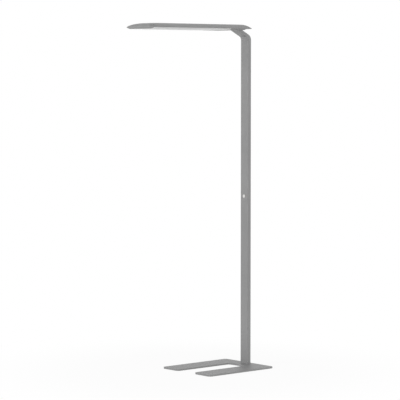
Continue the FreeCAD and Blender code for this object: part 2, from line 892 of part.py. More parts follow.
def make_plate_connector():
    return box(connector_x - connector_half, connector_x + connector_half, led_plate_rear + 1,
               led_plate_rear + 11, led_plate_top, led_plate_top + connector_height)


def make_output_lead():
    start = at(connector_x, driver_front, output_level)
    end = at(connector_x, led_plate_rear + 1, output_level)
    return tube_along([start, end], [0, 0], output_lead_radius)


# ---- all nodes ----
def make_nodes():
    board_down_z = shelf_top - board_thickness
    return {
        "base_plate": make_base_plate(),
        "glides": make_glides(),
        "base_bolts": make_base_bolts(),
        "foot_block": make_foot_block(),
        "foot_screws": make_side_screws(foot_screw_z),
        "pole_tube": make_pole_tube(),
        "inlet_bush": make_inlet_bush(),
        "inlet_seal": make_inlet_seal(),
        "inlet_nut": make_inlet_nut(),
        "terminal_block": make_terminal_block(),
        "terminal_screw": make_terminal_screw(),
        "mains_lead": make_mains_lead(),
        "switch_housing": make_switch_housing(),
        "switch_gasket": make_switch_gasket(),
        "switch_nut": make_switch_nut(),
        "button": make_button(),
        "button_spring": make_button_spring(),
        "contact_block": make_contact_block(),
        "control_lead": make_control_lead(),
        "neck": make_neck(),
        "neck_screws": make_side_screws(neck_screw_z),
        "mount_plate": make_mount_plate(),
        "mount_screws": make_mount_screws(),
        "head_tray": make_head_tray(),
        "top_cover": make_top_cover(),
        "cover_screws": make_cover_screws(),
        "uplight_panel": make_uplight_panel(),
        "diffuser": make_diffuser(),
        "diffuser_retainers": make_diffuser_retainers(),
        "driver": make_driver(),
        "driver_screws": make_driver_screws(),
        "led_plate": make_led_plate(),
        "plate_screws": make_plate_screws(),
        "down_boards": boards(down_columns, board_down_z),
        "down_chips": chips(down_columns, board_down_z - chip_height),
        "up_boards": boards(up_columns, led_plate_top),
        "up_chips": chips(up_columns, led_plate_top + board_thickness),
        "plate_connector": make_plate_connector(),
        "output_lead": make_output_lead(),
    }


os.makedirs(parts_folder, exist_ok=True)
for name, shape in make_nodes().items():
    print(name, "solids", len(shape.Solids), "valid", shape.isValid(), "volume", round(shape.Volume))
    shape.exportStep(os.path.join(parts_folder, name + ".step"))
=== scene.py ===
import json
import math

import bmesh
import bpy
from mathutils import Matrix, Vector


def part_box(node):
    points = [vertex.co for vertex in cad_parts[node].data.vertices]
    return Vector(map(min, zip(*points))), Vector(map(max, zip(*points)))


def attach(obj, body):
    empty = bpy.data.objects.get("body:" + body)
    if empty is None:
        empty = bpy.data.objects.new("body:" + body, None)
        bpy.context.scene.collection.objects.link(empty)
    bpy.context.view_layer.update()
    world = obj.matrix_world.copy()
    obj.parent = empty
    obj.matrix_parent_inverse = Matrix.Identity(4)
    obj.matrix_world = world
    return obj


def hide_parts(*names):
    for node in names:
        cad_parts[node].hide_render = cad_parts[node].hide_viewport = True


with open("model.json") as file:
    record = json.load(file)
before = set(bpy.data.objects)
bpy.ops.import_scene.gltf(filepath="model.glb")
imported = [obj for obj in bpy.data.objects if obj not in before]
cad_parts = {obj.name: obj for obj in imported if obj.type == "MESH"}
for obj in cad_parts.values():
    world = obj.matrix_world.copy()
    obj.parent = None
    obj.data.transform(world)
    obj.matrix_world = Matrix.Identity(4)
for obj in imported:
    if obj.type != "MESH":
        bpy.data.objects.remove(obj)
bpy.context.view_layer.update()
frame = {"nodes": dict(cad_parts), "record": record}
cadNodes = frame["nodes"]

# every length below is in metres; "ahead" is the distance in front of the pole's rear face
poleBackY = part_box("pole_tube")[1].y
mm = 0.001
nearly = 1e-6        # two places closer than this are the same
upward = (0, 0, 1)
rearward = (0, 1, 0)


def yAt(ahead):
    return poleBackY - ahead


# camera, at the photograph's viewing angle
shot = {
    "azimuth": 48.98,        # degrees, 0 looks along +Y
    "pitch": 3.78,           # degrees that it looks down
    "distance": 11.46875,
    "target": (-0.41406, 0.390, 0.9302),
    "lens": 175.11,
}


def makeCamera():
    turn, pitch = math.radians(shot["azimuth"]), math.radians(shot["pitch"])
    back = Vector((math.sin(turn) * math.cos(pitch), -math.cos(turn) * math.cos(pitch), math.sin(pitch)))
    lens = bpy.data.cameras.new("shotCamera")
    lens.lens = shot["lens"]
    lens.sensor_width = 36
    lens.clip_end = 200
    camera = bpy.data.objects.new("shotCamera", lens)
    camera.location = Vector(shot["target"]) + back * shot["distance"]
    camera.rotation_mode = "QUATERNION"
    camera.rotation_quaternion = (-back).to_track_quat("-Z", "Y")
    bpy.context.collection.objects.link(camera)
    bpy.context.scene.camera = camera


makeCamera()
print("camera placed")


# shader tools
class Link:
    # a socket that takes part in plain maths; each sign adds its own Math node
    def __init__(self, shader, socket):
        self.shader = shader
        self.socket = socket

    def maths(self, operation, first, second=0.0):
        return self.shader.node("ShaderNodeMath", {"operation": operation}, {0: first, 1: second})

    def __add__(self, other):
        return self.maths("ADD", self, other)

    def __radd__(self, other):
        return self.maths("ADD", other, self)

    def __sub__(self, other):
        return self.maths("SUBTRACT", self, other)

    def __rsub__(self, other):
        return self.maths("SUBTRACT", other, self)

    def __mul__(self, other):
        return self.maths("MULTIPLY", self, other)

    def __rmul__(self, other):
        return self.maths("MULTIPLY", other, self)

    def __pow__(self, other):
        return self.maths("POWER", self, other)

    def sine(self):
        return self.maths("SINE", self)

    def within(self, low, high):
        # 0 below low and 1 above high, with a soft step between
        return self.shader.node("ShaderNodeMapRange", {"interpolation_type": "SMOOTHSTEP"},
                                {"Value": self, "From Min": low, "From Max": high})


class Shader:
    def __init__(self, owner):
        # owner is a material or the world
        owner.use_nodes = True
        self.owner = owner
        self.tree = owner.node_tree
        self.tree.nodes.clear()
        self.place = self.node("ShaderNodeTexCoord", out="Object")

    def node(self, kind, settings=None, sockets=None, out=0):
        made = self.tree.nodes.new(kind)
        for key, value in (settings or {}).items():
            setattr(made, key, value)
        for key, value in (sockets or {}).items():
            if isinstance(value, Link):
                self.tree.links.new(value.socket, made.inputs[key])
            else:
                made.inputs[key].default_value = value
        return None if out is None else Link(self, made.outputs[out])

    def outputs(self, kind, names, sockets=None):
        made = self.node(kind, None, sockets).socket.node
        return [Link(self, made.outputs[name]) for name in names]

    def stretched(self, scale):
        return self.node("ShaderNodeMapping", None, {"Vector": self.place, "Scale": scale})

    def noise(self, scale, detail=2.0, roughness=0.5, where=None):
        sockets = {"Vector": where or self.place, "Scale": scale, "Detail": detail, "Roughness": roughness}
        return self.node("ShaderNodeTexNoise", None, sockets, "Fac")

    def cells(self, scale):
        sockets = {"Vector": self.place, "Scale": scale}
        return self.node("ShaderNodeTexVoronoi", {"feature": "F1"}, sockets, "Distance")

    def axes(self, where=None):
        return self.outputs("ShaderNodeSeparateXYZ", ("X", "Y", "Z"), {0: where or self.place})

    def blend(self, share, first, second):
        return self.node("ShaderNodeMix", {"data_type": "RGBA"}, {0: share, 6: first, 7: second}, 2)

    def bump(self, height, distance, strength=1.0):
        sockets = {"Height": height, "Distance": distance, "Strength": strength}
        return self.node("ShaderNodeBump", None, sockets)

    def surface(self, **sockets):
        names = {"colour": "Base Color", "roughness": "Roughness", "metallic": "Metallic",
                 "normal": "Normal", "coat": "Coat Weight", "coatRoughness": "Coat Roughness", "ior": "IOR"}
        named = {names[key]: value for key, value in sockets.items()}
        shader = self.node("ShaderNodeBsdfPrincipled", None, named)
        self.node("ShaderNodeOutputMaterial", None, {"Surface": shader}, None)
        return self.owner


def newShader(name):
    return Shader(bpy.data.materials.new(name))


def grey(level, tint=(1.0, 1.0, 1.0)):
    return (level * tint[0], level * tint[1], level * tint[2], 1.0)


# room: pale floor, white surroundings, soft light
room = {
    "floorSize": 60.0,
    "floorSeen": 1.0,          # grey of the floor as the camera sees its shading
    "floorBounce": 0.50,       # grey of the floor as it lights the lamp from below
    "shadowShare": 0.07,       # how much of the floor's real shading the camera sees
    "shadowReach": (0.45, 1.5),  # metres from the lamp between which that fades away
    "skyLight": 0.38,          # the even light on the object, from all round
    "lightAim": (0, 0, 1),
    "boxSize": 3.0,
    "keyPlace": (-2.2, -6.0, 1.3),
    "keyWatts": 325.0,
    "fillPlace": (6.0, 0.4, 1.3),
    "fillWatts": 205.0,
}


def seenDirectly(shader):
    # camera, mirror and window rays see the surroundings as plain white
    camera, glossy, through = shader.outputs(
        "ShaderNodeLightPath", ("Is Camera Ray", "Is Glossy Ray", "Is Transmission Ray"))
    return camera.maths("MAXIMUM", camera.maths("MAXIMUM", camera, glossy), through)


def makeFloor():
    bm = bmesh.new()
    bmesh.ops.create_grid(bm, x_segments=1, y_segments=1, size=room["floorSize"] / 2)
    mesh = bpy.data.meshes.new("floor")
    bm.to_mesh(mesh)
    bm.free()
    floor = bpy.data.objects.new("floor", mesh)
    bpy.context.collection.objects.link(floor)
    shader = newShader("paleFloor")
    camera, = shader.outputs("ShaderNodeLightPath", ("Is Camera Ray",))
    colour = shader.blend(camera, grey(room["floorBounce"]), grey(room["floorSeen"]))
    lit = shader.node("ShaderNodeBsdfPrincipled", None,
                      {"Base Color": colour, "Roughness": 1.0, "Specular IOR Level": 0.0})
    white = shader.node("ShaderNodeEmission", None, {"Color": grey(1.0), "Strength": 1.0})
    across, along, _ = shader.axes()
    away = (across * across + along * along) ** 0.5
    shading = (1.0 - away.within(*room["shadowReach"])) * room["shadowShare"]
    share = seenDirectly(shader) * (1.0 - shading)
    mixed = shader.node("ShaderNodeMixShader", None, {0: share, 1: lit, 2: white})
    shader.node("ShaderNodeOutputMaterial", None, {"Surface": mixed}, None)
    mesh.materials.append(shader.owner)


def makeWorld():
    world = bpy.data.worlds.new("studio")
    bpy.context.scene.world = world
    shader = Shader(world)
    level = room["skyLight"]
    strength = seenDirectly(shader) * (1.0 - level) + level
    light = shader.node("ShaderNodeBackground", None, {"Color": grey(1.0), "Strength": strength})
    shader.node("ShaderNodeOutputWorld", None, {"Surface": light}, None)


def makeSoftbox(name, place, watts):
    lamp = bpy.data.lights.new(name, "AREA")
    lamp.shape = "SQUARE"
    lamp.size = room["boxSize"]
    lamp.energy = watts
    holder = bpy.data.objects.new(name, lamp)
    holder.location = place
    holder.rotation_mode = "QUATERNION"
    holder.rotation_quaternion = (Vector(room["lightAim"]) - Vector(place)).to_track_quat("-Z", "Y")
    holder.visible_glossy = False
    holder.visible_camera = False
    bpy.context.collection.objects.link(holder)


makeFloor()
makeWorld()
makeSoftbox("keyLight", room["keyPlace"], room["keyWatts"])
makeSoftbox("fillLight", room["fillPlace"], room["fillWatts"])
bpy.context.scene.view_settings.view_transform = "Standard"
print("room and lights made")


# finishes; noise sizes are waves in a metre and bump heights are metres
paint = {
    "level": 0.285,            # linear grey of the silver powder coat
    "tint": (1.0, 1.0, 1.005),
    "flakeSize": 1700.0,
    "flakeShare": 0.16,        # how far single flakes stand out from the grey
    "cloudSize": 3.1,
    "cloudShare": 0.05,
    "handlingSize": 26.0,
    "edgeWidth": 1.6 * mm,
    "edgeShine": 1.5,          # how much brighter a rubbed edge is
    "peelSize": 620.0,         # the coat's orange peel
    "peelHeight": 0.00020,
    "metallic": 0.25,
    "roughness": 0.47,
}


def silverPaint(name, wear=0.5):
    # satin metallic powder coat: fine flakes, orange peel, slow clouds, edges rubbed a little bright
    shader = newShader(name)
    level, tint = paint["level"], paint["tint"]
    flakes = shader.noise(paint["flakeSize"], 2.0, 0.8).within(0.32, 0.68)
    clouds = shader.noise(paint["cloudSize"], 3.0, 0.55)
    handling = shader.noise(paint["handlingSize"], 4.0, 0.6)
    peel = shader.noise(paint["peelSize"], 2.0, 0.55)
    rounded = shader.node("ShaderNodeBevel", {"samples": 4}, {"Radius": paint["edgeWidth"]})
    straight = shader.node("ShaderNodeNewGeometry", out="Normal")
    same = shader.node("ShaderNodeVectorMath", {"operation": "DOT_PRODUCT"}, {0: rounded, 1: straight}, 1)
    edge = (1.0 - same).within(0.004, 0.10) * handling.within(0.35, 0.75) * wear
    span = paint["flakeShare"] + paint["cloudShare"]
    shade = (flakes * paint["flakeShare"] + clouds.within(0.3, 0.7) * paint["cloudShare"]) * (1.0 / span)
    plain = shader.blend(shade, grey(level * (1 - span), tint), grey(level * (1 + span), tint))
    colour = shader.blend(edge * 0.35, plain, grey(level * paint["edgeShine"], tint))
    roughness = paint["roughness"] + (clouds - 0.5) * 0.10 + (handling - 0.5) * 0.06 - edge * 0.08
    normal = shader.bump(peel + flakes * 0.15, paint["peelHeight"])
    return shader.surface(colour=colour, roughness=roughness, metallic=paint["metallic"], normal=normal,
                          ior=1.46)


opal = {
    "level": 0.80,
    "grainSize": 2400.0,
    "milkSize": 9.0,
    "textureHeight": 0.00008,
    "ribs": 1570.0,            # radians in a metre, one rib every 4 mm across the uplight's panel
}


def opalPlastic(name, ribs=0.0):
    # satin opal acrylic: milky, with a very fine grain
    shader = newShader(name)
    level = opal["level"]
    grain = shader.noise(opal["grainSize"], 2.0, 0.5)
    milk = shader.noise(opal["milkSize"], 3.0, 0.5)
    shade = (milk - 0.5) * 0.5 + 0.5
    colour = shader.blend(shade, grey(level * 0.97, (1.0, 1.0, 0.99)), grey(level * 1.03))
    height = grain * 0.3
    if ribs:
        across, along, _ = shader.axes()
        height = height + (across * ribs).sine()
    normal = shader.bump(height, opal["textureHeight"], 0.5)
    roughness = 0.32 + (grain - 0.5) * 0.12
    return shader.surface(colour=colour, roughness=roughness, metallic=0.0, normal=normal, ior=1.49,
                          coat=0.15, coatRoughness=0.12)


def turnedNickel(name, centre):
    # bright nickel, faced on a lathe: fine rings round the button's axis
    shader = newShader(name)
    moved = shader.node("ShaderNodeMapping", {"vector_type": "POINT"},
                        {"Vector": shader.place, "Location": tuple(-value for value in centre)})
    x, _, z = shader.axes(moved)
    radius = (x * x + z * z) ** 0.5
    rings = (radius * 26000.0).sine()
    smears = shader.noise(900.0, 3.0, 0.6)
    shade = (smears - 0.5) * 0.5 + rings * 0.08 + 0.5
    colour = shader.blend(shade, grey(0.66, (1.0, 0.99, 0.97)), grey(0.86, (1.0, 0.995, 0.98)))
    normal = shader.bump(rings, 0.000006, 0.5)
    roughness = 0.20 + (smears - 0.5) * 0.12
    return shader.surface(colour=colour, roughness=roughness, metallic=1.0, normal=normal)


def platedSteel(name):
    # zinc-plated steel: cloudy crystal bloom over drawing marks
    shader = newShader(name)
    level, tint = 0.52, (0.99, 1.0, 1.01)
    bloom = shader.cells(1400.0)
    drawn = shader.noise(1.0, 3.0, 0.6, shader.stretched((300.0, 300.0, 3000.0)))
    clouds = shader.noise(160.0, 3.0, 0.55)
    shade = (bloom - 0.4) * 0.4 + (clouds - 0.5) * 0.8 + 0.5
    colour = shader.blend(shade, grey(level * 0.86, tint), grey(level * 1.12, tint))
    normal = shader.bump(drawn, 0.00001, 0.5)
    roughness = 0.34 + (clouds - 0.5) * 0.16
    return shader.surface(colour=colour, roughness=roughness, metallic=0.9, normal=normal)


def mouldedPlastic(name, level, tint=(1.0, 1.0, 1.0), roughness=0.5, grainHeight=0.00002):
    # spark-eroded mould texture with slow flow marks
    shader = newShader(name)
    grain = shader.noise(1900.0, 2.0, 0.6)
    flow = shader.noise(45.0, 3.0, 0.5)
    shade = (grain - 0.5) * 0.4 + (flow - 0.5) * 0.4 + 0.5
    colour = shader.blend(shade, grey(level * 0.90, tint), grey(min(1.0, level * 1.08), tint))
    normal = shader.bump(grain, grainHeight, 0.6)
    cloudy = roughness + (flow - 0.5) * 0.14
    return shader.surface(colour=colour, roughness=cloudy, metallic=0.0, normal=normal)


def mouldedRubber(name):
    # matt black rubber with a dusty bloom and small pores
    shader = newShader(name)
    level = 0.035
    bloom = shader.noise(120.0, 4.0, 0.6)
    pores = shader.cells(2600.0)
    shade = bloom.within(0.35, 0.8)
    colour = shader.blend(shade, grey(level), grey(level * 2.4))
    normal = shader.bump(pores, 0.00003, 0.5)
    roughness = 0.72 + (bloom - 0.5) * 0.2
    return shader.surface(colour=colour, roughness=roughness, metallic=0.0, normal=normal)


def millAluminium(name):
    # bare sheet with rolling lines along the head
    shader = newShader(name)
    rolled = shader.noise(1.0, 3.0, 0.6, shader.stretched((2600.0, 40.0, 2600.0)))
    clouds = shader.noise(22.0, 3.0, 0.5)
    shade = (rolled - 0.5) * 0.8 + (clouds - 0.5) * 0.3 + 0.5
    colour = shader.blend(shade, grey(0.62, (1.0, 1.0, 1.01)), grey(0.80, (1.0, 1.0, 1.01)))
    normal = shader.bump(rolled, 0.000008, 0.5)
    roughness = 0.36 + (rolled - 0.5) * 0.16
    return shader.surface(colour=colour, roughness=roughness, metallic=0.9, normal=normal)


def circuitBoard(name):
    # white solder mask with faint copper runs beneath it
    shader = newShader(name)
    across, along, _ = shader.axes()
    runs = (across * 1400.0).sine().within(0.80, 0.92) * (along * 90.0).sine().within(-0.6, -0.2)
    weave = shader.noise(1500.0, 2.0, 0.5)
    share = runs * 0.35 + weave * 0.1
    colour = shader.blend(share, grey(0.86, (1.0, 1.0, 0.98)), grey(0.62, (1.0, 0.96, 0.86)))
    normal = shader.bump(runs + weave * 0.2, 0.00003, 0.5)
    roughness = 0.34 + (weave - 0.5) * 0.1
    return shader.surface(colour=colour, roughness=roughness, metallic=0.0, normal=normal)


def phosphorLens(name):
    # yellow phosphor under a clear drop
    shader = newShader(name)
    grain = shader.cells(9000.0)
    slow = shader.noise(700.0, 2.0, 0.5)
    colour = shader.blend(grain * 0.5 + slow * 0.4, (0.86, 0.62, 0.10, 1.0), (0.92, 0.78, 0.28, 1.0))
    normal = shader.bump(grain, 0.00002, 0.4)
    roughness = 0.22 + (slow - 0.5) * 0.1
    return shader.surface(colour=colour, roughness=roughness, metallic=0.0, normal=normal, coat=0.5,
                          coatRoughness=0.05)


# modelling tools
def boxMatrix(xLow, xHigh, aheadLow, aheadHigh, zLow, zHigh):
    centre = Vector(((xLow + xHigh) / 2, yAt((aheadLow + aheadHigh) / 2), (zLow + zHigh) / 2))
    size = (xHigh - xLow, aheadHigh - aheadLow, zHigh - zLow, 1.0)
    return Matrix.Translation(centre) @ Matrix.Diagonal(size)


def roundOff(bm, edges, radius, steps):
    if radius > 0:
        bmesh.ops.bevel(bm, geom=edges, offset=radius, segments=steps, profile=0.5, affect="EDGES",
                        material=-1, clamp_overlap=True)


def uprightEdges(bm, test):
    found = []
    for edge in bm.edges:
        first, second = edge.verts[0].co, edge.verts[1].co
        if (first.xy - second.xy).length < nearly and test((first + second) / 2):
            found.append(edge)
    return found


def isLevel(part, z):
    return all(abs(vert.co.z - z) < nearly for vert in part.verts)


def levelEdges(bm, z):
    return [edge for edge in bm.edges if isLevel(edge, z)]


def levelFace(bm, z):
    # the largest one, where there are several
    return max((face for face in bm.faces if isLevel(face, z)), key=lambda face: face.calc_area())


def pulled(bm, face):
    # a moved-on copy of the face, joined to the old rim by new sides; gives the copy's verts
    grown = bmesh.ops.extrude_face_region(bm, geom=[face] + list(face.edges))["geom"]
    return [part for part in grown if isinstance(part, bmesh.types.BMVert)]


def roundedBlock(bm, xHalf, aheadLow, aheadHigh, zLow, zHigh, rearRadius, frontRadius, steps=8):
    # a block whose upright edges are rounded, made on its own and then added to bm
    fresh = bmesh.new()
    box = boxMatrix(-xHalf, xHalf, aheadLow, aheadHigh, zLow, zHigh)
    bmesh.ops.create_cube(fresh, size=1.0, matrix=box)
    middle = yAt((aheadLow + aheadHigh) / 2)
    rear = uprightEdges(fresh, lambda spot: spot.y > middle)
    roundOff(fresh, rear, rearRadius, steps)
    front = uprightEdges(fresh, lambda spot: abs(spot.y - yAt(aheadHigh)) < nearly
                         and abs(abs(spot.x) - xHalf) < nearly)
    roundOff(fresh, front, frontRadius, steps)
    mesh = bpy.data.meshes.new("block")
    fresh.to_mesh(mesh)
    fresh.free()
    bm.from_mesh(mesh)
    bpy.data.meshes.remove(mesh)


def reshape(bm, verts, old, new):
    # moves verts so that an outline (half width, ahead low, ahead high, z) becomes another one
    before = Vector((0, yAt((old[1] + old[2]) / 2), old[3]))
    after = Vector((0, yAt((new[1] + new[2]) / 2), new[3]))
    size = (new[0] / old[0], (new[2] - new[1]) / (old[2] - old[1]), 1.0, 1.0)
    moved = Matrix.Translation(after) @ Matrix.Diagonal(size) @ Matrix.Translation(-before)
    bmesh.ops.transform(bm, matrix=moved, verts=verts)


def spun(bm, profile, centre, axis, steps=48):
    # profile is (radius, distance along axis) points; one that starts off the axis is closed to itself
    along = Vector(axis)
    outward = Vector((1, 0, 0))
    verts = [bm.verts.new(Vector(centre) + outward * radius + along * reach) for radius, reach in profile]
    edges = [bm.edges.new(pair) for pair in zip(verts, verts[1:])]
    if profile[0][0] > 0:
        edges.append(bm.edges.new((verts[-1], verts[0])))
    bmesh.ops.spin(bm, geom=verts + edges, cent=centre, axis=along, dvec=(0, 0, 0), angle=2 * math.pi,
                   steps=steps, use_merge=True, use_duplicate=False)
    bmesh.ops.remove_doubles(bm, verts=bm.verts, dist=nearly)


def turnedRim(bm, centre, axis, radius, reach):
    # the edges of a turned piece that lie on a circle round its axis
    def onRim(vert):
        away = vert.co - Vector(centre)
        depth = away.dot(Vector(axis))
        outward = (away - Vector(axis) * depth).length
        return abs(depth - reach) < nearly and abs(outward - radius) < 10 * nearly

    return [edge for edge in bm.edges if all(onRim(vert) for vert in edge.verts)]


def drill(bm, x, ahead, z, radius, length, axis, farRadius=None):
    # a round cutter or post that starts at a place and runs along the axis
    start = Vector((x, yAt(ahead), z))
    turn = Vector(axis).to_track_quat("Z", "Y").to_matrix().to_4x4()
    middle = Matrix.Translation(start + Vector(axis) * length / 2)
    bmesh.ops.create_cone(bm, cap_ends=True, segments=32, radius1=radius, radius2=farRadius or radius,
                          depth=length, matrix=middle @ turn)


def openUp(bm, z):
    # takes away the level face at z from a closed mesh, whose faces are turned outwards first
    bmesh.ops.recalc_face_normals(bm, faces=bm.faces)
    bmesh.ops.delete(bm, geom=[levelFace(bm, z)], context="FACES_ONLY")


def makeObject(name, bm):
    mesh = bpy.data.meshes.new(name)
    if all(edge.is_manifold for edge in bm.edges):
        bmesh.ops.recalc_face_normals(bm, faces=bm.faces)
    bm.to_mesh(mesh)
    bm.free()
    made = bpy.data.objects.new(name, mesh)
    bpy.context.collection.objects.link(made)
    return made


def settle(piece):
    # keeps what the piece's modifiers make as its own mesh
    graph = bpy.context.evaluated_depsgraph_get()
    old = piece.data
    settled = bpy.data.meshes.new_from_object(piece.evaluated_get(graph))
    piece.modifiers.clear()
    piece.data = settled
    bpy.data.meshes.remove(old)


def thicken(piece, wall):
    shell = piece.modifiers.new("wall", "SOLIDIFY")
    shell.thickness = wall
    shell.offset = -1.0
    shell.use_even_offset = True
    settle(piece)


def carve(piece, cutters, operation="DIFFERENCE"):
    tool = makeObject("cutter", cutters)
    cut = piece.modifiers.new("cut", "BOOLEAN")
    cut.operation = operation
    cut.solver = "EXACT"
    cut.object = tool
    settle(piece)
    mesh = tool.data
    bpy.data.objects.remove(tool)
    bpy.data.meshes.remove(mesh)


def finishPiece(piece, finish, stands, body="lamp", sharp=32.0):
    mesh = piece.data
    mesh.materials.clear()
    mesh.materials.append(finish)
    mesh.shade_smooth()
    mesh.set_sharp_from_angle(angle=math.radians(sharp))
    even = piece.modifiers.new("evenNormals", "WEIGHTED_NORMAL")
    even.keep_sharp = True
    even.weight = 100
    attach(piece, body)
    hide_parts(*stands)
    print("made", piece.name)


# base plate
silverSteel = silverPaint("silverPaintSteel")
silverAluminium = silverPaint("silverPaintAluminium", 0.35)
blackRubber = mouldedRubber("blackRubber")

base = {
    "halfWidth": 205 * mm,
    "behindPole": 20 * mm,
    "length": 487 * mm,
    "slotHalf": 69 * mm,
    "slotLength": 390 * mm,
    "cornerRadius": 22 * mm,
    "slotRadius": 18.5 * mm,
    "bottom": 1 * mm,
    "top": 10 * mm,
    "rimRadius": 1.2 * mm,
    "undersideRadius": 0.5 * mm,
    "bolts": (16 * mm, 12.5 * mm),           # spread each side, and distance ahead
    "boltHead": (8.6 * mm, 3.9 * mm, 4.7 * mm),      # countersink's radii and depth
    "boltHoleRadius": 4.2 * mm,
    "glideSeat": (12.2 * mm, 3 * mm),                # radius, and height that it reaches
    "glideColumn": 137 * mm,
    "glideRows": (10 * mm, 233.5 * mm, 437 * mm),
}


def makeBase():
    bm = bmesh.new()
    front = base["length"] - base["behindPole"]
    slotEnd = front - base["slotLength"]
    side, slot, rear = base["halfWidth"], base["slotHalf"], -base["behindPole"]
    corners = [(-side, rear), (-side, front), (-slot, front), (-slot, slotEnd),
               (slot, slotEnd), (slot, front), (side, front), (side, rear)]
    plan = bm.faces.new([bm.verts.new((across, yAt(ahead), base["bottom"])) for across, ahead in corners])
    bmesh.ops.translate(bm, vec=(0, 0, base["top"] - base["bottom"]), verts=pulled(bm, plan))

    def inSlotEnd(spot):
        return abs(abs(spot.x) - slot) < nearly and abs(spot.y - yAt(slotEnd)) < nearly

    def atOuterCorner(spot):
        return abs(spot.y - yAt(front)) < nearly or spot.y > yAt(0)

    roundOff(bm, uprightEdges(bm, inSlotEnd), base["slotRadius"], 10)
    roundOff(bm, uprightEdges(bm, atOuterCorner), base["cornerRadius"], 12)
    roundOff(bm, levelEdges(bm, base["top"]), base["rimRadius"], 4)
    roundOff(bm, levelEdges(bm, base["bottom"]), base["undersideRadius"], 2)
    plate = makeObject("baseSlab", bm)
    cutters = bmesh.new()
    spread, ahead = base["bolts"]
    wide, narrow, depth = base["boltHead"]
    seatRadius, seatTop = base["glideSeat"]
    under = 0.5 * mm
    for hand in (-1, 1):
        drill(cutters, hand * spread, ahead, base["bottom"] - 1 * mm, wide, depth, upward, narrow)
        for row in base["glideRows"]:
            drill(cutters, hand * base["glideColumn"], row, under, seatRadius, seatTop - under, upward)
    carve(plate, cutters)
    holes = bmesh.new()
    for hand in (-1, 1):
        drill(holes, hand * spread, ahead, base["bottom"] + 1 * mm, base["boltHoleRadius"], 12 * mm, upward)
    carve(plate, holes)
    finishPiece(plate, silverSteel, ["base_plate"])


glides = {
    # radius and height in millimetres of the turned outline, with two soft rings that grip the floor
    "outline": ((0, 0.4), (2.6, 0.4), (3.1, 0), (6.0, 0), (6.5, 0.4), (8.0, 0.4), (8.5, 0), (11.4, 0),
                (12.0, 0.6), (12.0, 3.0), (0, 3.0)),
}


def makeGlides():
    bm = bmesh.new()
    profile = [(radius * mm, height * mm) for radius, height in glides["outline"]]
    for side in (-1, 1):
        for row in base["glideRows"]:
            spun(bm, profile, (side * base["glideColumn"], yAt(row), 0), upward, 36)
    finishPiece(makeObject("floorGlides", bm), blackRubber, ["glides"])


makeBase()
makeGlides()


# pole
pole = {
    "halfWidth": 30 * mm,
    "depth": 25 * mm,
    "bottom": 10 * mm,
    "top": 1864 * mm,
    "cornerRadius": 2.5 * mm,
    "wall": 2 * mm,
    "seam": 0.45 * mm,          # bevel each side of the joint with the neck
    "screwSpread": 23 * mm,
    "screwHoles": (33 * mm, 1844 * mm),
    "screwHoleRadius": 2.3 * mm,
    "buttonZ": 974.5 * mm,
    "buttonHoleRadius": 8.2 * mm,
    "inletZ": 90 * mm,
    "inletHoleRadius": 6.2 * mm,
}


def makePole():
    bm = bmesh.new()
    roundedBlock(bm, pole["halfWidth"], 0, pole["depth"], pole["bottom"], pole["top"],
                 pole["cornerRadius"], pole["cornerRadius"], 5)
    openUp(bm, pole["bottom"])
    bmesh.ops.delete(bm, geom=[levelFace(bm, pole["top"])], context="FACES_ONLY")
    tube = makeObject("poleTube", bm)
    thicken(tube, pole["wall"])
    cutters = bmesh.new()
    beyond = 2 * mm
    length = pole["wall"] + 2 * beyond
    inside = pole["wall"] + beyond
    for side in (-1, 1):
        for z in pole["screwHoles"]:
            drill(cutters, side * pole["screwSpread"], inside, z, pole["screwHoleRadius"], length, rearward)
    drill(cutters, 0, inside, pole["inletZ"], pole["inletHoleRadius"], length, rearward)
    drill(cutters, 0, pole["depth"] + beyond, pole["buttonZ"], pole["buttonHoleRadius"], length, rearward)
    carve(tube, cutters)
    rim = bmesh.new()
    rim.from_mesh(tube.data)
    outer = [edge for edge in levelEdges(rim, pole["top"])
             if edge.calc_length() > 0 and outsidePole((edge.verts[0].co + edge.verts[1].co) / 2)]
    roundOff(rim, outer, pole["seam"], 2)
    rim.to_mesh(tube.data)
    rim.free()
    finishPiece(tube, silverAluminium, ["pole_tube"])


def outsidePole(spot):
    near = 1.2 * mm
    middle = yAt(pole["depth"] / 2)
    return abs(spot.x) > pole["halfWidth"] - near or abs(spot.y - middle) > pole["depth"] / 2 - near


makePole()


# neck
neck = {
    "lean": math.radians(63),     # the arm's lean from the vertical
    "cornerZ": 1886 * mm,         # where the rear faces of pole and arm would meet
    "rearRadius": 34 * mm,
    "frontRadius": 20 * mm,
    "armThickness": 18 * mm,
    "top": 1925 * mm,
    "edgeRadius": 2.3 * mm,
    "spigotInset": 2.2 * mm,
    "spigotLength": 40 * mm,
    "ductHalf": 18 * mm,
    "ductWall": 5 * mm,
    "ductFrontWall": 3.5 * mm,
    "tappedRadius": 2.0 * mm,
    "tappedDepth": 6 * mm,
    "mountSpread": 25 * mm,
    "mountScrews": (84.5 * mm, 98.5 * mm),
}


def armZ(ahead, depth):
    return neck["cornerZ"] + (ahead * math.cos(neck["lean"]) - depth) / math.sin(neck["lean"])


def armAhead(z, depth):
    return (depth + (z - neck["cornerZ"]) * math.sin(neck["lean"])) / math.cos(neck["lean"])


